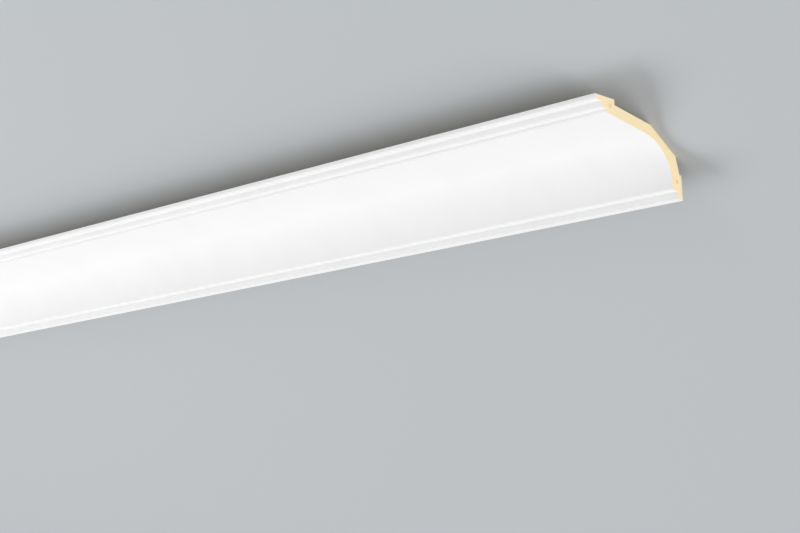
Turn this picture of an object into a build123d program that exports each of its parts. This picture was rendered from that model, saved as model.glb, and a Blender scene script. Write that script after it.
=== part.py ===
from build123d import *
from math import cos, radians, sin, tan
from typing import NamedTuple
import os

# One length of moulded foam cornice: a deep cove between a stepped edge at its top and a small lip
# at its bottom, with a faceted back and both ends sawn square.
#
# The section is drawn as it is fitted. "out" is measured from the upright plane at its back and
# "down" from the level plane at its top, so its origin is where the two planes meet. The piece is
# then turned onto the flat in the middle of its back, and lies with its face up, its length along X
# and its front edge at +Y.

# Driving dimensions, in millimetres and degrees

LENGTH = 2000.0
PROJECTION = 142.6  # from the back plane to the front edge
DROP = 100.0  # from the top plane to the bottom edge

# Stepped edge at the top, from the front edge inwards
TOP_FASCIA = 5.6
TOP_SOFFIT = 10.0
SECOND_FASCIA = 6.9
SECOND_SOFFIT = 7.3
THIRD_FASCIA = 4.0

# Cove
COVE_SLOPE = 12.0  # its flat, below the level
COVE_TO_WALL = 17.2  # from the back plane to its upright end
COVE_UPRIGHT = 3.5  # straight stretch between its arc and the lip

# Lip at the bottom
LIP_SOFFIT = 8.6
LIP_FASCIA = 8.6

SOFFIT_FALL = 6.0  # every soffit falls this much on its way to the back
NOSE_RADIUS = 2.0  # outer corners of the face
QUIRK_RADIUS = 0.6  # inner corners of the face
LIP_RADIUS = 0.8  # bottom edge

# Back
CEILING_LAND = 31.3  # width of the strip that is glued at the top
WALL_LAND = 28.8  # height of the strip that is glued at the back
LAND_RELIEF = 3.2  # both strips lean away, so that the visible edges close tight
BACK_RADIUS = 1.0
UPPER_FLAT = COVE_SLOPE  # slopes of the three flats, from the top down
MIDDLE_FLAT = 35.5
LOWER_FLAT = 73.8
UPPER_WEB = 13.0  # least thickness of foam between each flat and the cove
MIDDLE_WEB = 9.7
LOWER_WEB = 14.0

LARGEST_SHARE = 0.45  # most of a straight that the rounding of one of its corners may use up


class Corner(NamedTuple):
    """A corner of the outline as (out, down), and the radius of its rounding.

    Short straights beside it hold the radius back, unless it is the cove's own sweep.
    """

    point: tuple
    radius: float = 0.0
    is_sweep: bool = False


def tilt(angle):
    """Rise over run of a slope given in degrees."""
    return tan(radians(angle))


def face_corners():
    """Corners of the face from the front edge to the bottom edge, and the centre and radius of its arc.

    The cove's arc is the rounding of the corner where its flat would meet its upright end, as large
    as the stretch above the lip leaves room for.
    """
    corners = [Corner((PROJECTION, 0.0))]
    out, down = PROJECTION, 0.0
    steps = [(TOP_FASCIA, TOP_SOFFIT), (SECOND_FASCIA, SECOND_SOFFIT)]
    for fascia, soffit in steps:
        down += fascia
        corners.append(Corner((out, down), NOSE_RADIUS))
        out, down = out - soffit, down + soffit * tilt(SOFFIT_FALL)
        corners.append(Corner((out, down), QUIRK_RADIUS))
    down += THIRD_FASCIA
    corners.append(Corner((out, down), NOSE_RADIUS))

    lip_out = COVE_TO_WALL - LIP_SOFFIT
    lip_bottom = DROP - lip_out * tilt(SOFFIT_FALL)
    lip_top = lip_bottom - LIP_FASCIA
    cove_end = lip_top - LIP_SOFFIT * tilt(SOFFIT_FALL)

    bend = down + (out - COVE_TO_WALL) * tilt(COVE_SLOPE)
    arc_radius = (cove_end - COVE_UPRIGHT - bend) / tilt((90.0 - COVE_SLOPE) / 2)
    corners += [
        Corner((COVE_TO_WALL, bend), arc_radius, is_sweep=True),
        Corner((COVE_TO_WALL, cove_end), NOSE_RADIUS),
        Corner((lip_out, lip_top), QUIRK_RADIUS),
        Corner((lip_out, lip_bottom), LIP_RADIUS),
        Corner((0.0, DROP)),
    ]
    arc_centre = (COVE_TO_WALL + arc_radius, cove_end - COVE_UPRIGHT)
    return corners, arc_centre, arc_radius


def flat_line(slope, web, centre, radius):
    """A flat of the back, as the unit normal that points out of the foam and its distance."""
    normal = (-sin(radians(slope)), -cos(radians(slope)))
    return normal, centre[0] * normal[0] + centre[1] * normal[1] + radius + web


def meet(first, second):
    """Point where two lines cross, each given as a unit normal and a distance."""
    (a, b), c = first
    (d, e), f = second
    span = a * e - b * d
    return (c * e - b * f) / span, (a * f - c * d) / span


def back_corners(centre, radius):
    """Corners of the back, from the glued strip at the bottom up to the one at the front."""
    upper = flat_line(UPPER_FLAT, UPPER_WEB, centre, radius)
    middle = flat_line(MIDDLE_FLAT, MIDDLE_WEB, centre, radius)
    lower = flat_line(LOWER_FLAT, LOWER_WEB, centre, radius)
    wall_step = ((0.0, 1.0), DROP - WALL_LAND)
    ceiling_step = ((1.0, 0.0), PROJECTION - CEILING_LAND)
    points = [
        (WALL_LAND * tilt(LAND_RELIEF), DROP - WALL_LAND),
        meet(wall_step, lower),
        meet(lower, middle),
        meet(middle, upper),
        meet(upper, ceiling_step),
        (PROJECTION - CEILING_LAND, CEILING_LAND * tilt(LAND_RELIEF)),
    ]
    return [Corner(point, BACK_RADIUS) for point in points]


def fitted_radius(before, corner, after):
    """The radius of a corner, held back where its two straights are too short for it."""
    if corner.is_sweep or corner.radius == 0.0:
        return corner.radius
    at = Vector(*corner.point)
    incoming, outgoing = at - Vector(*before.point), Vector(*after.point) - at
    run = corner.radius * tilt(incoming.get_angle(outgoing) / 2)
    room = LARGEST_SHARE * min(incoming.length, outgoing.length)
    return corner.radius * min(1.0, room / run)


def section():
    """The closed outline of the moulding, on the plane across its length."""
    face, centre, arc_radius = face_corners()
    corners = face + back_corners(centre, arc_radius)
    following = corners[1:] + corners[:1]
    preceding = corners[-1:] + corners[:-1]
    radii = [fitted_radius(*trio) for trio in zip(preceding, corners, following)]
    points = [(-out, -down) for (out, down), *_ in corners]
    with BuildSketch(Plane.YZ) as outline:
        with BuildLine():
            FilletPolyline(points, radius=radii, close=True)
        make_face()
    return outline.sketch


def cove_moulding():
    """The whole piece, lying on the middle flat of its back and centred over the origin."""
    piece = extrude(section(), amount=LENGTH / 2, both=True)
    lying = piece.rotate(Axis.X, MIDDLE_FLAT - 180.0)
    box = lying.bounding_box()
    return lying.moved(Location((0.0, -box.center().Y, -box.min.Z)))


os.makedirs("parts", exist_ok=True)
export_step(cove_moulding(), "parts/cove_moulding.step")
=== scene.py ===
"""Looks of one length of cove moulding: primed foam with sawn ends, on a pale studio floor.

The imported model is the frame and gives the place, the length and the box. The piece is modelled
again inside it, to the same section, with smooth rounds, sawn ends and a finish for each surface,
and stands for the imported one. Sizes and places in the section are in millimetres, and so are the
camera's lens and sensor. All else is in metres.
"""

import logging
import math
from dataclasses import dataclass, field
from enum import Enum
from typing import ClassVar

import bmesh
import bpy
from mathutils import Matrix, Vector

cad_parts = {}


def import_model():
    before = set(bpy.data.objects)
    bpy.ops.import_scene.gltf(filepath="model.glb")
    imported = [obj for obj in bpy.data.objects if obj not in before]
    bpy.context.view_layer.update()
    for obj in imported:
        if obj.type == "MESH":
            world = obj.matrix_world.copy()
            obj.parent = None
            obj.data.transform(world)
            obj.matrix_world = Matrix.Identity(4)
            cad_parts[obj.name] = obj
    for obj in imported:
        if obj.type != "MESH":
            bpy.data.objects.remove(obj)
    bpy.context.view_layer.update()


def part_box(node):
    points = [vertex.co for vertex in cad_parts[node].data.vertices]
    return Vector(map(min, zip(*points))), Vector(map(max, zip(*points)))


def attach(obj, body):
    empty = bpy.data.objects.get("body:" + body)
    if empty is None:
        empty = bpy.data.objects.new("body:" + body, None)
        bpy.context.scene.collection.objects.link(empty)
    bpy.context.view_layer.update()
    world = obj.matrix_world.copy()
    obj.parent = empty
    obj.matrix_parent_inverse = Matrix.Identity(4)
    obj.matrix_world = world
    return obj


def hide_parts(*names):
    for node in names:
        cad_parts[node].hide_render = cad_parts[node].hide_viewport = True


MM = 0.001
NODE = "cove_moulding"
BODY = "root"

Pair = tuple[float, float]
Triple = tuple[float, float, float]
Span = Pair  # where something starts, and where it ends or is full
Flat = Triple  # a flat of the section: its normal, as two numbers, and its distance
Colour = Triple  # linear red, green and blue
Box = tuple[Vector, Vector]  # lowest and highest corners
Feed = bpy.types.NodeSocket | Colour | float  # what an input of a node can be given

log = logging.getLogger(NODE)


class Surface(Enum):
    """The surfaces of the piece that are finished alike; the value is the material's index."""

    FACE = 0
    BACK = 1
    SAWN = 2


class Operation(Enum):
    """Calculations on patterns; the value is the math node's own word."""

    ADD = "ADD"
    SUBTRACT = "SUBTRACT"
    MULTIPLY = "MULTIPLY"
    ABSOLUTE = "ABSOLUTE"


@dataclass(frozen=True)
class Corner:
    """A corner of the section as it is fitted, in millimetres.

    Attributes:
        out: Distance out from the plane of the moulding's back.
        down: Distance down from the plane of its top.
        radius: Size of its rounding, which short straights beside it may hold back.
        sweeping: True for the cove's own arc, which keeps its full radius.
    """

    out: float
    down: float
    radius: float = 0.0
    sweeping: bool = False

    @property
    def place(self) -> Vector:
        """Its place as fitted."""
        return Vector((0.0, self.out, self.down))


@dataclass(frozen=True)
class CorniceSection:
    """Section of the moulding as it is fitted, in millimetres and degrees.

    Its origin is where the upright plane at its back meets the level plane at its top. It runs
    down the face, from the front edge in the top plane to the bottom edge in the back plane, and
    back up behind it.

    Attributes:
        projection: How far it reaches out from the back plane.
        drop: How far it reaches down from the top plane.
        top_fascia: Height of the upright at the front edge.
        top_soffit: Depth of the step behind it.
        second_fascia: Height of the second upright.
        second_soffit: Depth of the step behind that.
        third_fascia: Height of the third upright, under which the cove starts.
        cove_slope: Slope of the cove's flat, and of the back's upper flat.
        cove_to_wall: How far the cove's upright end stands out from the back plane.
        cove_upright: Height of that end.
        lip_soffit: Depth of the step between the cove and the lip.
        lip_fascia: Height of the lip's upright.
        soffit_fall: Slope of every step, which falls towards the back.
        nose_radius: Rounding of the outer corners.
        quirk_radius: Rounding of the inner corners.
        lip_radius: Rounding of the lip's bottom corner.
        ceiling_land: Width of the strip that is glued at the top.
        wall_land: Height of the strip that is glued at the back.
        land_relief: How far both strips lean away from what they are glued to.
        back_radius: Rounding of the back's corners.
        middle_flat: Slope of the back's middle flat, which the piece lies on.
        lower_flat: Slope of the back's lower flat.
        upper_web: Thickness of the foam between the cove and the upper flat.
        middle_web: Thickness of the foam between the cove and the middle flat.
        lower_web: Thickness of the foam between the cove and the lower flat.
        largest_share: How much of a straight the rounding at one of its ends may take.
    """

    projection: float = 142.6
    drop: float = 100.0
    top_fascia: float = 5.6
    top_soffit: float = 10.0
    second_fascia: float = 6.9
    second_soffit: float = 7.3
    third_fascia: float = 4.0
    cove_slope: float = 12.0
    cove_to_wall: float = 17.2
    cove_upright: float = 3.5
    lip_soffit: float = 8.6
    lip_fascia: float = 8.6
    soffit_fall: float = 6.0
    nose_radius: float = 2.0
    quirk_radius: float = 0.6
    lip_radius: float = 0.8
    ceiling_land: float = 31.3
    wall_land: float = 28.8
    land_relief: float = 3.2
    back_radius: float = 1.0
    middle_flat: float = 35.5
    lower_flat: float = 73.8
    upper_web: float = 13.0
    middle_web: float = 9.7
    lower_web: float = 14.0
    largest_share: float = 0.45

    @staticmethod
    def tilt(angle: float) -> float:
        """Rise over run of a slope given in degrees."""
        return math.tan(math.radians(angle))

    @property
    def cove_start(self) -> Pair:
        """Where the flat of the cove leaves the stepped edge.

        Returns:
            The place, as (out, down).
        """
        out = self.projection - self.top_soffit - self.second_soffit
        fall = (self.top_soffit + self.second_soffit) * self.tilt(self.soffit_fall)
        return out, self.top_fascia + self.second_fascia + self.third_fascia + fall

    @property
    def cove_bend(self) -> Pair:
        """Where the flat of the cove would meet its upright end, as (out, down)."""
        out, down = self.cove_start
        return self.cove_to_wall, down + (out - self.cove_to_wall) * self.tilt(self.cove_slope)

    @property
    def lip_top(self) -> float:
        """How far down the top of the lip's fascia is."""
        lip_out = self.cove_to_wall - self.lip_soffit
        return self.drop - lip_out * self.tilt(self.soffit_fall) - self.lip_fascia

    @property
    def cove_end(self) -> float:
        """How far down the cove's upright end reaches."""
        return self.lip_top - self.lip_soffit * self.tilt(self.soffit_fall)

    @property
    def cove_radius(self) -> float:
        """Radius of the cove's arc, from its flat to the straight above the lip."""
        fall = self.cove_end - self.cove_upright - self.cove_bend[1]
        return fall / self.tilt((90.0 - self.cove_slope) / 2)

    def face(self) -> list[Corner]:
        """Corners of the face.

        Returns:
            The corners from the front edge in the top plane to the bottom edge in the back plane.
        """
        fall = self.tilt(self.soffit_fall)
        corners = [Corner(self.projection, 0.0)]
        out, down = self.projection, 0.0
        steps = [(self.top_fascia, self.top_soffit), (self.second_fascia, self.second_soffit)]
        for fascia, soffit in steps:
            corners.append(Corner(out, down + fascia, self.nose_radius))
            out, down = out - soffit, down + fascia + soffit * fall
            corners.append(Corner(out, down, self.quirk_radius))
        lip_out = self.cove_to_wall - self.lip_soffit
        return [
            *corners,
            Corner(*self.cove_start, self.nose_radius),
            Corner(*self.cove_bend, self.cove_radius, sweeping=True),
            Corner(self.cove_to_wall, self.cove_end, self.nose_radius),
            Corner(lip_out, self.lip_top, self.quirk_radius),
            Corner(lip_out, self.lip_top + self.lip_fascia, self.lip_radius),
            Corner(0.0, self.drop),
        ]

    def _flat(self, slope: float, web: float) -> Flat:
        """A flat of the back.

        Args:
            slope: Its slope, in degrees.
            web: Thickness of foam between it and the cove.

        Returns:
            Its normal, which points out of the foam, as two numbers, and its distance.
        """
        across, up = -math.sin(math.radians(slope)), -math.cos(math.radians(slope))
        centre_out = self.cove_to_wall + self.cove_radius
        centre_down = self.cove_end - self.cove_upright
        return across, up, centre_out * across + centre_down * up + self.cove_radius + web

    def _meet(self, first: Flat, second: Flat) -> Corner:
        """The rounded corner where two flats of the back cross.

        Args:
            first: One flat, as _flat gives it.
            second: The other flat.

        Returns:
            Their corner.
        """
        across_1, up_1, away_1 = first
        across_2, up_2, away_2 = second
        cross = across_1 * up_2 - up_1 * across_2
        out = (away_1 * up_2 - up_1 * away_2) / cross
        down = (across_1 * away_2 - away_1 * across_2) / cross
        return Corner(out, down, self.back_radius)

    def back(self) -> list[Corner]:
        """Corners of the back.

        Returns:
            The corners, from the glued strip at the bottom up to the one at the front.
        """
        relief = self.tilt(self.land_relief)
        wall_top = self.drop - self.wall_land
        ceiling_end = self.projection - self.ceiling_land
        wall_step, ceiling_step = (0.0, 1.0, wall_top), (1.0, 0.0, ceiling_end)
        upper = self._flat(self.cove_slope, self.upper_web)
        middle = self._flat(self.middle_flat, self.middle_web)
        lower = self._flat(self.lower_flat, self.lower_web)
        return [
            Corner(self.wall_land * relief, wall_top, self.back_radius),
            self._meet(wall_step, lower),
            self._meet(lower, middle),
            self._meet(middle, upper),
            self._meet(upper, ceiling_step),
            Corner(ceiling_end, self.ceiling_land * relief, self.back_radius),
        ]

    def lie(self, box: Box) -> Matrix:
        """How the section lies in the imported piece's box, on the middle flat of its back.

        Args:
            box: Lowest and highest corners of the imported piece.

        Returns:
            The move from a place as fitted, (0, out, down) in millimetres, to where it lies.
        """
        # As it is fitted, out is -Y and down is -Z. It is then turned over onto its back.
        lean = Matrix.Rotation(math.radians(self.middle_flat - 180.0), 4, "X")
        turn = lean @ Matrix.Scale(-MM, 4)
        front, *_, bottom = (turn @ corner.place for corner in self.face())
        lowest = min((turn @ corner.place).z for corner in self.back())
        across = (box[0].y + box[1].y - front.y - bottom.y) / 2
        return Matrix.Translation((0.0, across, box[0].z - lowest)) @ turn


class OutlinePen:
    """Draws one closed outline in edit mode, on a plane across the length.

    Straights are extruded from the last point, and rounded corners are spun from it.
    """

    AXIS = Vector((1.0, 0.0, 0.0))
    SAME_PLACE = 0.001 * MM  # two points nearer to each other than this are one

    def __init__(self, name: str, start: Vector, chord_error: float) -> None:
        """Puts the pen down.

        Args:
            name: Name of the new piece.
            start: The first point.
            chord_error: How far a facet of a round may lie from the true arc.
        """
        bpy.ops.object.select_all(action="DESELECT")
        bpy.ops.mesh.primitive_plane_add(size=MM, location=start)
        self.piece = bpy.context.object
        self.piece.name = self.piece.data.name = name
        bpy.ops.object.transform_apply(location=True, rotation=True, scale=True)
        bpy.ops.object.mode_set(mode="EDIT")
        bpy.ops.mesh.merge(type="CENTER")
        self.at = start
        self.chord_error = chord_error

    def straight(self, end: Vector) -> None:
        """Draws a straight from the last point.

        Args:
            end: Where it ends.
        """
        step = {"value": tuple(end - self.at)}
        bpy.ops.mesh.extrude_vertices_move(TRANSFORM_OT_translate=step)
        self.at = end

    def rounded(self, corner: Vector, after: Vector, radius: float) -> None:
        """Draws a straight towards a corner, and then the corner's rounding.

        Args:
            corner: The sharp corner.
            after: The next corner.
            radius: Radius of the rounding.
        """
        incoming, outgoing = (corner - self.at).normalized(), (after - corner).normalized()
        turn = incoming.angle(outgoing)
        side = math.copysign(1.0, incoming.cross(outgoing).dot(self.AXIS))
        run = radius * math.tan(turn / 2)
        self.straight(corner - incoming * run)
        centre = self.at + self.AXIS.cross(incoming) * (side * radius)
        facet = 2 * math.acos(1.0 - self.chord_error / radius)
        bpy.ops.mesh.spin(
            steps=math.ceil(turn / facet),
            angle=-side * turn,
            center=tuple(centre),
            axis=tuple(self.AXIS),
        )
        self.at = corner + outgoing * run

    def close(self) -> bpy.types.Object:
        """Joins the last point to the first and fills the outline.

        Returns:
            The piece, still in edit mode with its one face selected.
        """
        bpy.ops.mesh.select_all(action="SELECT")
        bpy.ops.mesh.remove_doubles(threshold=self.SAME_PLACE)
        bpy.ops.mesh.edge_face_add()
        return self.piece


@dataclass
class CoveMoulding:
    """The piece as it lies on the floor, with its length along X.

    Attributes:
        section: Its section.
        spots: Middles of the faint round spots on the ends, as (out, down) in millimetres.
        chord_error: How far a facet of a round may lie from the true arc.
        arris: How far the saw broke the edges of the ends.
        arris_facets: Facets across such a broken edge.
        at_end: Points this near to the plane of an end are on it.
        end_facing: A face is on an end if its normal lies along the length by this share or more.
        coat: Thickness of the primer and of the back's skin, which show as a rim on the ends.
        smooth_up_to: Edges that turn more than this many degrees stay sharp.
        flat_weight: How strongly the large faces hold the shading of the rounds beside them.
    """

    section: CorniceSection = field(default_factory=CorniceSection)
    spots: tuple[Pair, ...] = ((118.5, 10.0), (9.0, 79.4))
    chord_error: float = 0.003 * MM
    arris: float = 0.15 * MM
    arris_facets: int = 2
    at_end: float = 0.01 * MM
    end_facing: float = 0.999
    coat: float = 0.2 * MM
    smooth_up_to: float = 35.0
    flat_weight: int = 90

    def build(self, box: Box, finishes: dict[Surface, bpy.types.Material]) -> bpy.types.Object:
        """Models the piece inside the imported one's box and gives it its finishes.

        Args:
            box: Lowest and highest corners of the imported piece.
            finishes: A material for each of its surfaces.

        Returns:
            The finished piece.
        """
        lie = self.section.lie(box)
        piece = self._draw_section(lie, box[0].x)
        length = (box[1].x - box[0].x, 0.0, 0.0)
        bpy.ops.mesh.extrude_region_move(TRANSFORM_OT_translate={"value": length})
        bpy.ops.mesh.select_all(action="SELECT")
        bpy.ops.mesh.normals_make_consistent(inside=False)
        for plane in (box[0].x, box[1].x):
            self._saw_end(piece, plane)
        for surface in Surface:
            piece.data.materials.append(finishes[surface])
        # As it is fitted, the face looks out and down.
        out_of_face = lie.to_3x3() @ Vector((0.0, 1.0, 1.0))
        self._dress(piece, out_of_face)
        bpy.ops.object.mode_set(mode="OBJECT")
        self._shade(piece)
        return piece

    def spots_in(self, box: Box) -> list[Vector]:
        """Middles of the spots on the ends, where the piece lies in its box."""
        lie = self.section.lie(box)
        return [lie @ Vector((0.0, *spot)) for spot in self.spots]

    def _draw_section(self, lie: Matrix, plane: float) -> bpy.types.Object:
        """Draws and fills the section as it lies.

        Args:
            lie: The move from a place as fitted to where it lies.
            plane: Where along X it is drawn.

        Returns:
            The piece, in edit mode with the section selected.
        """
        corners = self.section.face() + self.section.back()
        points = [Vector((plane, 0.0, 0.0)) + lie @ corner.place for corner in corners]
        pen = OutlinePen("moulding_length", points[0], self.chord_error)
        for index in range(1, len(corners)):
            after = points[(index + 1) % len(points)]
            radius = self._fitted(corners[index], points[index - 1], points[index], after)
            if radius > 0.0:
                pen.rounded(points[index], after, radius)
            else:
                pen.straight(points[index])
        pen.straight(points[0])
        return pen.close()

    def _fitted(self, corner: Corner, before: Vector, at: Vector, after: Vector) -> float:
        """The radius of a corner, held back where its two straights are too short for it.

        Args:
            corner: The corner.
            before: Place of the corner before it.
            at: Its own place.
            after: Place of the corner after it.

        Returns:
            The radius, in metres.
        """
        if corner.sweeping or corner.radius == 0.0:
            return corner.radius * MM
        incoming, outgoing = at - before, after - at
        run = corner.radius * MM * math.tan(incoming.angle(outgoing) / 2)
        room = self.section.largest_share * min(incoming.length, outgoing.length)
        return corner.radius * MM * min(1.0, room / run)

    def _saw_end(self, piece: bpy.types.Object, plane: float) -> None:
        """Breaks the edges of one end and marks off the rim of the coat on it.

        Args:
            piece: The piece, in edit mode.
            plane: Where along X the end is.
        """
        bpy.ops.mesh.select_mode(type="EDGE")
        bpy.ops.mesh.select_all(action="DESELECT")
        for edge in bmesh.from_edit_mesh(piece.data).edges:
            edge.select_set(all(abs(vert.co.x - plane) < self.at_end for vert in edge.verts))
        bmesh.update_edit_mesh(piece.data)
        bpy.ops.mesh.bevel(
            offset=self.arris, segments=self.arris_facets, affect="EDGES", clamp_overlap=False
        )
        bpy.ops.mesh.select_mode(type="FACE")
        bpy.ops.mesh.select_all(action="DESELECT")
        for face in bmesh.from_edit_mesh(piece.data).faces:
            face.select_set(abs(face.calc_center_median().x - plane) < self.at_end)
        bmesh.update_edit_mesh(piece.data)
        bpy.ops.mesh.inset(thickness=self.coat, use_even_offset=True)

    def _dress(self, piece: bpy.types.Object, out_of_face: Vector) -> None:
        """Gives each face the finish of its surface.

        Args:
            piece: The piece, in edit mode.
            out_of_face: Direction out of the primed face.
        """
        mesh = bmesh.from_edit_mesh(piece.data)
        mesh.normal_update()
        for face in mesh.faces:
            side = self._side_of(face)
            face.material_index = Surface.SAWN.value
            if side is not None:
                primed = side.normal.dot(out_of_face) > 0.0
                face.material_index = (Surface.FACE if primed else Surface.BACK).value
        bmesh.update_edit_mesh(piece.data)

    def _side_of(self, face: bmesh.types.BMFace) -> bmesh.types.BMFace | None:
        """The face along the length that a face belongs to.

        Args:
            face: Any face of the piece.

        Returns:
            The face itself, or its neighbour where it is in the rim of a sawn end. None for the
            sawn foam inside the rim.
        """
        neighbours = [other for edge in face.edges for other in edge.link_faces]
        along = [other for other in (face, *neighbours) if abs(other.normal.x) < self.end_facing]
        return along[0] if along else None

    def _shade(self, piece: bpy.types.Object) -> None:
        """Shades the rounds smooth and keeps the flats flat.

        Args:
            piece: The piece, in object mode.
        """
        bpy.ops.object.shade_smooth_by_angle(angle=math.radians(self.smooth_up_to))
        flats = piece.modifiers.new("flats_stay_flat", "WEIGHTED_NORMAL")
        flats.mode = "FACE_AREA"
        flats.weight = self.flat_weight
        flats.keep_sharp = True
        bpy.ops.object.modifier_apply(modifier=flats.name)


class NodeBench:
    """The nodes of one material, with short ways to add the patterns that the finishes share.

    Patterns are placed by the piece's own coordinates, so their sizes are true lengths.
    """

    # The sockets of a mix node are picked by number, because several have the same name.
    MIX_SHARE = 0
    MIX_FIRST = 6
    MIX_SECOND = 7
    MIX_RESULT = 2

    def __init__(self, name: str, specular: float) -> None:
        """Starts a material.

        Args:
            name: Its name.
            specular: Strength of its plain reflection.
        """
        self.material = bpy.data.materials.new(name)
        self.material.use_nodes = True
        self.shader = self.material.node_tree.nodes["Principled BSDF"]
        self.shader.inputs["Specular IOR Level"].default_value = specular
        self.place = self.add("ShaderNodeTexCoord").outputs["Object"]

    def add(self, kind: str, **settings: object) -> bpy.types.Node:
        """Adds a node.

        Args:
            kind: Its type.
            **settings: Its properties.

        Returns:
            The node.
        """
        node = self.material.node_tree.nodes.new(kind)
        for name, value in settings.items():
            setattr(node, name, value)
        return node

    def feed(self, target: bpy.types.NodeSocket, value: Feed) -> None:
        """Feeds an input of a node.

        Args:
            target: The input.
            value: A pattern to link to it, or a colour or a number to set it to.
        """
        if isinstance(value, bpy.types.NodeSocket):
            self.material.node_tree.links.new(value, target)
        elif isinstance(value, tuple):
            target.default_value = (*value, 1.0)[: len(target.default_value)]
        else:
            target.default_value = value

    def shaped(self, scale: Triple, turn: Triple = (0.0, 0.0, 0.0)) -> bpy.types.NodeSocket:
        """The piece's coordinates, stretched and turned.

        Args:
            scale: Scale along each axis; 0 flattens that axis.
            turn: Turn about each axis, in radians.

        Returns:
            The changed coordinates.
        """
        mapping = self.add("ShaderNodeMapping")
        self.feed(mapping.inputs["Vector"], self.place)
        mapping.inputs["Rotation"].default_value = turn
        mapping.inputs["Scale"].default_value = scale
        return mapping.outputs["Vector"]

    def clouds(
        self, size: float, layers: float = 2.0, place: bpy.types.NodeSocket | None = None
    ) -> bpy.types.NodeSocket:
        """Soft clouds from 0 to 1.

        Args:
            size: Width of one cloud, in metres.
            layers: How many finer layers the clouds have.
            place: Coordinates other than the piece's own.

        Returns:
            The pattern.
        """
        noise = self.add("ShaderNodeTexNoise")
        self.feed(noise.inputs["Vector"], place or self.place)
        self.feed(noise.inputs["Scale"], 1.0 / size)
        self.feed(noise.inputs["Detail"], layers)
        return noise.outputs["Fac"]

    def cells(self, size: float) -> tuple[bpy.types.NodeSocket, bpy.types.NodeSocket]:
        """Cells packed at random.

        Args:
            size: Width of one cell, in metres.

        Returns:
            The distance from the cell's middle, in cell widths, and a number that each cell has
            to itself.
        """
        cells = self.add("ShaderNodeTexVoronoi")
        self.feed(cells.inputs["Vector"], self.place)
        self.feed(cells.inputs["Scale"], 1.0 / size)
        parts = self.add("ShaderNodeSeparateColor")
        self.feed(parts.inputs["Color"], cells.outputs["Color"])
        return cells.outputs["Distance"], parts.outputs["Red"]

    def ramp(
        self, value: bpy.types.NodeSocket, span: Span, to: Span = (0.0, 1.0)
    ) -> bpy.types.NodeSocket:
        """A smooth step.

        Args:
            value: What it follows.
            span: Where it starts and ends; the second may be the lower.
            to: Its value at each end.

        Returns:
            The step.
        """
        step = self.add("ShaderNodeMapRange", interpolation_type="SMOOTHSTEP")
        low_first = span[0] < span[1]
        ends = zip(span if low_first else span[::-1], to if low_first else to[::-1])
        self.feed(step.inputs["Value"], value)
        for side, (at, becomes) in zip(("Min", "Max"), ends):
            self.feed(step.inputs[f"From {side}"], at)
            self.feed(step.inputs[f"To {side}"], becomes)
        return step.outputs["Result"]

    def calculate(
        self, operation: Operation, first: Feed, second: Feed = 0.0
    ) -> bpy.types.NodeSocket:
        """One calculation.

        Args:
            operation: What is done.
            first: The first number.
            second: The second number, which ABSOLUTE doesn't use.

        Returns:
            The result.
        """
        node = self.add("ShaderNodeMath", operation=operation.value)
        self.feed(node.inputs[0], first)
        self.feed(node.inputs[1], second)
        return node.outputs["Value"]

    def scattered(self, gap: float, rim: Span, luck: Span) -> bpy.types.NodeSocket:
        """Small round holes here and there.

        Args:
            gap: Width between the places where a hole may be.
            rim: Where a hole ends, and where it is full, as shares of that width.
            luck: Which share of the places stays without a hole, as the two ends of a short step.

        Returns:
            The holes, from 0 between them to 1 inside.
        """
        from_middle, chance = self.cells(gap)
        hole, chosen = self.ramp(from_middle, rim), self.ramp(chance, luck)
        return self.calculate(Operation.MULTIPLY, hole, chosen)

    def blend(self, share: Feed, first: Feed, second: Feed) -> bpy.types.NodeSocket:
        """One colour blended into another.

        Args:
            share: How much of the second shows, from 0 to 1.
            first: The first colour.
            second: The second colour.

        Returns:
            The blended colour.
        """
        mix = self.add("ShaderNodeMix", data_type="RGBA")
        self.feed(mix.inputs[self.MIX_SHARE], share)
        self.feed(mix.inputs[self.MIX_FIRST], first)
        self.feed(mix.inputs[self.MIX_SECOND], second)
        return mix.outputs[self.MIX_RESULT]

    def relief(
        self, height: bpy.types.NodeSocket, depth: float, under: bpy.types.NodeSocket | None = None
    ) -> bpy.types.NodeSocket:
        """Fine relief.

        Args:
            height: Its pattern, from 0 to 1.
            depth: How high it stands, in metres.
            under: Coarser relief that it lies on.

        Returns:
            The surface's normal.
        """
        bump = self.add("ShaderNodeBump")
        self.feed(bump.inputs["Height"], height)
        self.feed(bump.inputs["Distance"], depth)
        if under:
            self.feed(bump.inputs["Normal"], under)
        return bump.outputs["Normal"]

    def finish(self, **inputs: Feed) -> bpy.types.Material:
        """Feeds the shader.

        Args:
            **inputs: Its inputs, with _ for the spaces in their names.

        Returns:
            The finished material.
        """
        for name, value in inputs.items():
            self.feed(self.shader.inputs[name.replace("_", " ")], value)
        return self.material


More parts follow.
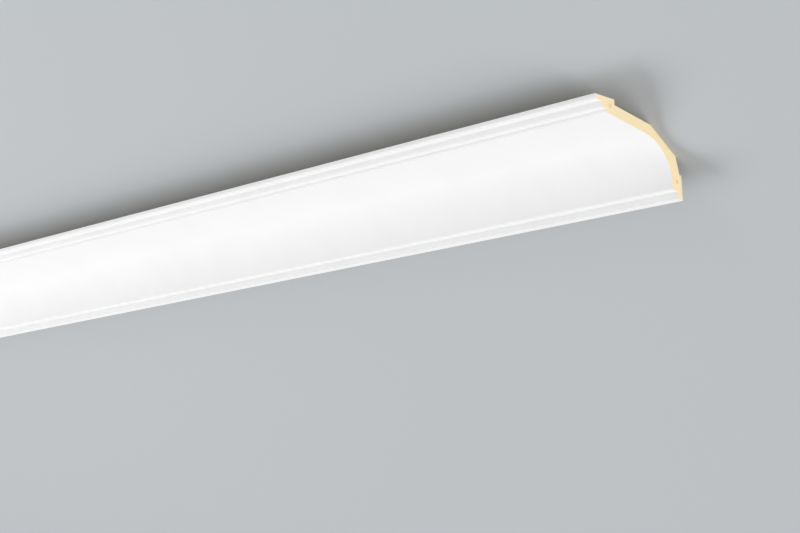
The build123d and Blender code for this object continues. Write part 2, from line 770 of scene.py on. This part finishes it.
@dataclass(frozen=True)
class SprayedPrimer:
    """White primer as it is sprayed on the face: matt, with the faint skin of an orange.

    Attributes:
        white: Its colour.
        shade: Its colour where the coat is a little thinner.
        patch: Width of such a patch.
        thinning: Where in the clouds the coat starts to thin, and where it is thinnest.
        dry_patch: Width of a patch that dried a little rougher than the rest.
        drying: Where in the clouds such a patch starts, and where it is roughest.
        layers: Finer layers in the clouds that give the thin patches and the skin.
        roughness: Roughness of the coat, and of a dry patch.
        specular: Strength of its plain reflection.
        peel: Width of one pimple of the skin, and its height.
        swell: Width of the moulded face's slow swells, and their height.
    """

    white: Colour = (0.878, 0.878, 0.878)
    shade: Colour = (0.866, 0.866, 0.864)
    patch: float = 60 * MM
    thinning: Span = (0.4, 0.7)
    dry_patch: float = 15 * MM
    drying: Span = (0.3, 0.7)
    layers: float = 3.0
    roughness: Span = (0.78, 0.88)
    specular: float = 0.05
    peel: Pair = (1.6 * MM, 0.012 * MM)
    swell: Pair = (45 * MM, 0.03 * MM)

    def build(self) -> bpy.types.Material:
        """Makes the material.

        Returns:
            The material.
        """
        bench = NodeBench("sprayed_primer", self.specular)
        thinner = bench.ramp(bench.clouds(self.patch, self.layers), self.thinning)
        swells = bench.relief(bench.clouds(self.swell[0]), self.swell[1])
        skin = bench.relief(bench.clouds(self.peel[0], self.layers), self.peel[1], under=swells)
        return bench.finish(
            Base_Color=bench.blend(thinner, self.white, self.shade),
            Roughness=bench.ramp(bench.clouds(self.dry_patch), self.drying, to=self.roughness),
            Normal=skin,
        )


@dataclass(frozen=True)
class SawnFoam:
    """Rigid cream foam where the saw went through it: fine open cells, and faint saw marks.

    Attributes:
        wall: Colour of the cells' walls, a little brighter than the foam's own cream as painted
            light for the dimly lit ends.
        cell_shade_colour: Colour inside the cells: the cream darkened as painted shade in the cut
            cells.
        bubble_shade_colour: Colour inside the few larger bubbles, which are only painted shade with
            no relief.
        cell: Width of one cell.
        cell_rim: Where a cell's wall starts, and where it is full, in cell widths from its middle.
        cell_depth: Depth of one cell.
        bubble_gap: Width between the places where a larger bubble may be.
        bubble_rim: Where a bubble ends, and where it is full, as shares of that width.
        bubble_luck: Share of the places without a bubble, as the two ends of a short step.
        saw_mark: Width of one saw mark, and its depth.
        saw_turn: Slope of the saw marks across the section, in degrees.
        saw_sway: How far the marks sway off the straight, and how quickly.
        saw_dust: How strongly a mark takes the colour of the hollows.
        spot: Radius at which a faint round spot ends, and at which it is full.
        spot_tone: Colour of a full spot: a darker, browner round mark.
        roughness: Roughness of the sawn surface.
        specular: Strength of its plain reflection.
    """

    # Set a little brighter than the foam's own cream: painted light that makes up for the weaker
    # light on the ends.
    wall: Colour = (0.97, 0.81, 0.525)
    cell_shade_colour: Colour = (0.9, 0.7, 0.42)
    bubble_shade_colour: Colour = (0.53, 0.42, 0.25)
    cell: float = 0.34 * MM
    cell_rim: Span = (0.15, 0.6)
    cell_depth: float = 0.06 * MM
    bubble_gap: float = 3.2 * MM
    bubble_rim: Span = (0.16, 0.1)
    bubble_luck: Span = (0.7, 0.72)
    saw_mark: Pair = (1.1 * MM, 0.02 * MM)
    saw_turn: float = 28.0
    saw_sway: Pair = (3.0, 0.4)
    saw_dust: float = 0.12
    spot: Span = (3.1 * MM, 1.9 * MM)
    spot_tone: Colour = (0.83, 0.65, 0.385)
    roughness: float = 0.9
    specular: float = 0.1

    WAVE_AT_SCALE_1: ClassVar[float] = math.tau / 20.0  # length of one wave of the wave pattern
    ACROSS: ClassVar[Triple] = (0.0, 1.0, 1.0)  # scale that keeps only the place across the length

    def build(self, spots: list[Vector]) -> bpy.types.Material:
        """Makes the material.

        Args:
            spots: Middles of the faint round spots on the ends.

        Returns:
            The material.
        """
        bench = NodeBench("sawn_foam", self.specular)
        from_middle, _ = bench.cells(self.cell)
        wall = bench.ramp(from_middle, self.cell_rim)
        bubbles = bench.scattered(self.bubble_gap, self.bubble_rim, self.bubble_luck)
        saw = self._saw_marks(bench)
        dust = bench.calculate(Operation.MULTIPLY, saw, self.saw_dust)
        # Painted shade: the cells are darker inside than on their walls.
        colour = bench.blend(wall, self.cell_shade_colour, self.wall)
        colour = bench.blend(dust, colour, self.cell_shade_colour)
        # Painted shade: the larger bubbles are only a darker colour, with no relief.
        colour = bench.blend(bubbles, colour, self.bubble_shade_colour)
        for middle in spots:
            near = bench.ramp(self._distance(bench, middle), self.spot)
            colour = bench.blend(near, colour, self.spot_tone)
        marks = bench.relief(saw, self.saw_mark[1])
        grain = bench.relief(wall, self.cell_depth, under=marks)
        return bench.finish(Base_Color=colour, Roughness=self.roughness, Normal=grain)

    def _saw_marks(self, bench: NodeBench) -> bpy.types.NodeSocket:
        """Straight marks of the saw, a little uneven.

        Args:
            bench: The material's nodes.

        Returns:
            The marks, from 0 to 1.
        """
        across = bench.shaped(self.ACROSS, (math.radians(self.saw_turn), 0.0, 0.0))
        wave = bench.add("ShaderNodeTexWave", bands_direction="Y")
        bench.feed(wave.inputs["Vector"], across)
        bench.feed(wave.inputs["Scale"], self.WAVE_AT_SCALE_1 / self.saw_mark[0])
        bench.feed(wave.inputs["Distortion"], self.saw_sway[0])
        bench.feed(wave.inputs["Detail Scale"], self.saw_sway[1])
        return wave.outputs["Fac"]

    def _distance(self, bench: NodeBench, middle: Vector) -> bpy.types.NodeSocket:
        """Distance across the section from a point, in metres.

        Args:
            bench: The material's nodes.
            middle: The point.

        Returns:
            The distance.
        """
        gap = bench.add("ShaderNodeVectorMath", operation="DISTANCE")
        bench.feed(gap.inputs[0], bench.shaped(self.ACROSS))
        gap.inputs[1].default_value = middle
        return gap.outputs["Value"]


@dataclass(frozen=True)
class MouldedSkin:
    """The bare back: the foam's own closed skin, with overspray along both edges.

    Attributes:
        pale: Its colour.
        deep: Its colour where the skin is denser.
        pinhole_shade_colour: Colour inside a pinhole, darkened as painted shade over the pinhole's
            relief.
        flow: Length and width of the marks that the foam left as it flowed.
        flow_layers: Finer layers in the clouds that give the marks.
        dense: Where in a mark the skin starts to be denser, and where it is densest.
        blister: Width of the skin's slow blisters, and their height.
        blister_layers: Finer layers in the clouds that give the blisters.
        pinhole_gap: Width between the places where a pinhole may be.
        pinhole_rim: Where a pinhole ends, and where it is full, as shares of that width.
        pinhole_luck: Share of the places without a pinhole, as the two ends of a short step.
        pinhole_depth: Depth of a pinhole.
        overspray: Colour of the primer that drifted round the edges.
        drift: Distance from the middle of the piece at which the drift is thin, and thick.
        ragged: Width of the drift's small ragged bays, and their reach.
        ragged_layers: Finer layers in the clouds that give the ragged bays.
        sway: Width of its slow bays, and their reach.
        sway_layers: Finer layers in the clouds that give the slow bays.
        roughness: Roughness of the skin, and of the overspray.
        specular: Strength of its plain reflection.
    """

    pale: Colour = (0.87, 0.775, 0.58)
    deep: Colour = (0.81, 0.69, 0.47)
    pinhole_shade_colour: Colour = (0.4, 0.34, 0.23)
    flow: Pair = (160 * MM, 30 * MM)
    flow_layers: float = 4.0
    dense: Span = (0.35, 0.7)
    blister: Pair = (9 * MM, 0.1 * MM)
    blister_layers: float = 3.0
    pinhole_gap: float = 7 * MM
    pinhole_rim: Span = (0.07, 0.04)
    pinhole_luck: Span = (0.6, 0.62)
    pinhole_depth: float = 0.15 * MM
    overspray: Colour = (0.87, 0.87, 0.86)
    drift: Span = (70 * MM, 85 * MM)
    ragged: Pair = (5 * MM, 14 * MM)
    ragged_layers: float = 6.0
    sway: Pair = (90 * MM, 16 * MM)
    sway_layers: float = 2.0
    roughness: Span = (0.5, 0.8)
    specular: float = 0.3

    def build(self) -> bpy.types.Material:
        """Makes the material.

        Returns:
            The material.
        """
        bench = NodeBench("moulded_skin", self.specular)
        along = bench.shaped((self.flow[1] / self.flow[0], 1.0, 1.0))
        flowed = bench.ramp(bench.clouds(self.flow[1], self.flow_layers, place=along), self.dense)
        holes = bench.scattered(self.pinhole_gap, self.pinhole_rim, self.pinhole_luck)
        drifted = self._drift(bench)
        colour = bench.blend(flowed, self.pale, self.deep)
        # Painted shade inside the pinholes, which also sink in the relief.
        colour = bench.blend(holes, colour, self.pinhole_shade_colour)
        colour = bench.blend(drifted, colour, self.overspray)
        swollen = bench.clouds(self.blister[0], self.blister_layers)
        blisters = bench.relief(swollen, self.blister[1])
        closed = bench.calculate(Operation.SUBTRACT, 1.0, holes)
        return bench.finish(
            Base_Color=colour,
            Roughness=bench.ramp(drifted, (0.0, 1.0), to=self.roughness),
            Normal=bench.relief(closed, self.pinhole_depth, under=blisters),
        )

    def _drift(self, bench: NodeBench) -> bpy.types.NodeSocket:
        """Overspray along both edges, with a ragged border.

        Args:
            bench: The material's nodes.

        Returns:
            How thick it lies, from 0 to 1.
        """
        across = bench.add("ShaderNodeSeparateXYZ")
        bench.feed(across.inputs["Vector"], bench.place)
        border = bench.calculate(Operation.ABSOLUTE, across.outputs["Y"])
        kinds = ((self.ragged, self.ragged_layers), (self.sway, self.sway_layers))
        for (width, reach), layers in kinds:
            bays = bench.calculate(Operation.MULTIPLY, bench.clouds(width, layers), reach)
            border = bench.calculate(Operation.ADD, border, bays)
        mean_reach = (self.ragged[1] + self.sway[1]) / 2
        return bench.ramp(border, tuple(mean_reach + edge for edge in self.drift))


@dataclass(frozen=True)
class FloorPaint:
    """Plain matt paint on the studio floor.

    Attributes:
        colour: Its colour.
        roughness: Its roughness.
        specular: Strength of its plain reflection; dead matt paint has none.
    """

    colour: Colour
    roughness: float = 1.0
    specular: float = 0.0

    def build(self) -> bpy.types.Material:
        """Makes the material."""
        bench = NodeBench("floor_paint", self.specular)
        return bench.finish(Base_Color=self.colour, Roughness=self.roughness)


@dataclass(frozen=True)
class PhotographCamera:
    """The photograph's camera, in its place against the piece.

    Attributes:
        place: Where it stands.
        pan: Turn about the upright, in degrees.
        tilt: Lift from looking straight down, in degrees.
        roll: Turn about its own line of sight. The piece lies on its back here and is seen as it
            is when it is fitted, so the camera is nearly upside down.
        lens: Focal length, in millimetres, for a sensor as wide as sensor.
        sensor: Width of the sensor, in millimetres.
    """

    place: Triple = (2.45906, 1.04531, 1.42135)
    pan: float = 120.4445
    tilt: float = 58.5072
    roll: float = -149.4410
    lens: float = 91.236
    sensor: float = 36.0

    def build(self) -> None:
        """Makes the camera and gives it to the scene."""
        turn = (
            Matrix.Rotation(math.radians(self.pan), 4, "Z")
            @ Matrix.Rotation(math.radians(self.tilt), 4, "X")
            @ Matrix.Rotation(math.radians(self.roll), 4, "Z")
        )
        bpy.ops.object.camera_add()
        camera = bpy.context.object
        camera.name = "photograph_camera"
        camera.data.sensor_width = self.sensor
        camera.data.lens = self.lens
        camera.matrix_world = Matrix.Translation(self.place) @ turn
        bpy.context.scene.camera = camera


@dataclass(frozen=True)
class SunLamp:
    """An even light from one direction.

    Attributes:
        name: Its name.
        height: Its height above the floor, in degrees.
        bearing: Its direction round the piece, in degrees from +X towards +Y.
        share: How much of a white card's brightness it gives when it faces the card.
        spread: Its apparent width, in degrees, which softens the edges of shadows.
    """

    name: str
    height: float
    bearing: float
    share: float
    spread: float

    def build(self) -> None:
        """Makes the lamp."""
        bpy.ops.object.light_add(type="SUN")
        lamp = bpy.context.object
        lamp.name = self.name
        # A white card that faces a sun of strength pi has a brightness of 1.
        lamp.data.energy = self.share * math.pi
        lamp.data.angle = math.radians(self.spread)
        tip = math.radians(90.0 - self.height)
        lamp.rotation_euler = (0.0, tip, math.radians(self.bearing))


@dataclass(frozen=True)
class SoftBox:
    """A square of even light.

    Attributes:
        name: Its name.
        place: Its centre.
        aim: The point that it faces.
        side: Its width and height.
        share: How much of a white card's brightness it gives at the point that it faces.
    """

    name: str
    place: Triple
    aim: Triple
    side: float
    share: float

    def build(self) -> None:
        """Makes the lamp, out of the camera's sight."""
        reach = Vector(self.place) - Vector(self.aim)
        bpy.ops.object.light_add(type="AREA", location=self.place)
        lamp = bpy.context.object
        lamp.name = self.name
        lamp.data.shape = "SQUARE"
        lamp.data.size = self.side
        # The card's brightness falls with the square of its distance from the lamp.
        lamp.data.energy = self.share * (math.pi * reach.length) ** 2
        lamp.visible_camera = False
        lamp.rotation_mode = "QUATERNION"
        lamp.rotation_quaternion = reach.to_track_quat("Z", "Y")


@dataclass(frozen=True)
class Studio:
    """The pale floor, the lamps and the even light of the room.

    Attributes:
        floor_half: Half the floor's width.
        floor_colour: Its colour.
        room_share: How much of a white card's brightness the room gives by itself.
        lamps: The lamps.
    """

    floor_half: float = 60.0
    floor_colour: Colour = (0.489, 0.511, 0.529)
    room_share: float = 0.486
    lamps: tuple[SunLamp | SoftBox, ...] = (
        SunLamp("key", height=30.0, bearing=180.0, share=0.55, spread=30.0),
        SunLamp("end_fill", height=20.0, bearing=340.0, share=0.605, spread=30.0),
        SunLamp("side_fill", height=15.0, bearing=90.0, share=0.125, spread=30.0),
        SoftBox("soft_box", place=(-1.1, 1.2, 1.6), aim=(0.2, 0.0, 0.0), side=1.0, share=0.13),
    )

    @property
    def floor_level(self) -> float:
        """How much of a white card's brightness the open floor has, away from the soft box."""
        suns = [lamp for lamp in self.lamps if isinstance(lamp, SunLamp)]
        return self.room_share + sum(sun.share * math.sin(math.radians(sun.height)) for sun in suns)

    def build(self) -> None:
        """Makes the floor, the lamps and the room."""
        self._lay_floor()
        for lamp in self.lamps:
            lamp.build()
        self._light_room()

    def _lay_floor(self) -> None:
        """Makes the floor."""
        bpy.ops.mesh.primitive_plane_add(size=2 * self.floor_half)
        floor = bpy.context.object
        floor.name = "studio_floor"
        floor.data.materials.append(FloorPaint(self.floor_colour).build())

    def _light_room(self) -> None:
        """Lights the room evenly, and shows the camera and reflections a backdrop like the floor."""
        world = bpy.data.worlds.new("studio_room")
        bpy.context.scene.world = world
        world.use_nodes = True
        nodes, links = world.node_tree.nodes, world.node_tree.links
        room = nodes["Background"]
        room.inputs["Color"].default_value = (1.0, 1.0, 1.0, 1.0)
        room.inputs["Strength"].default_value = self.room_share
        backdrop = nodes.new("ShaderNodeBackground")
        backdrop.inputs["Color"].default_value = (*self.floor_colour, 1.0)
        backdrop.inputs["Strength"].default_value = self.floor_level
        rays = nodes.new("ShaderNodeLightPath")
        seen = rays.outputs["Is Camera Ray"]
        for ray in ("Is Glossy Ray", "Is Transmission Ray"):
            either = nodes.new("ShaderNodeMath")
            either.operation = "MAXIMUM"
            links.new(seen, either.inputs[0])
            links.new(rays.outputs[ray], either.inputs[1])
            seen = either.outputs["Value"]
        choice = nodes.new("ShaderNodeMixShader")
        links.new(seen, choice.inputs["Fac"])
        links.new(room.outputs["Background"], choice.inputs[1])
        links.new(backdrop.outputs["Background"], choice.inputs[2])
        links.new(choice.outputs["Shader"], nodes["World Output"].inputs["Surface"])


def main() -> None:
    """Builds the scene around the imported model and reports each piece."""
    logging.basicConfig(level=logging.INFO, format="%(name)s: %(message)s")
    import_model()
    bpy.context.scene.view_settings.view_transform = "Standard"

    box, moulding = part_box(NODE), CoveMoulding()
    finishes = {
        Surface.FACE: SprayedPrimer().build(),
        Surface.BACK: MouldedSkin().build(),
        Surface.SAWN: SawnFoam().build(moulding.spots_in(box)),
    }
    piece = moulding.build(box, finishes)
    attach(piece, BODY)
    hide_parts(NODE)
    log.info("%s: %d faces", piece.name, len(piece.data.polygons))

    Studio().build()
    PhotographCamera().build()
    log.info("studio and camera are in place")


if __name__ == "__main__":
    main()
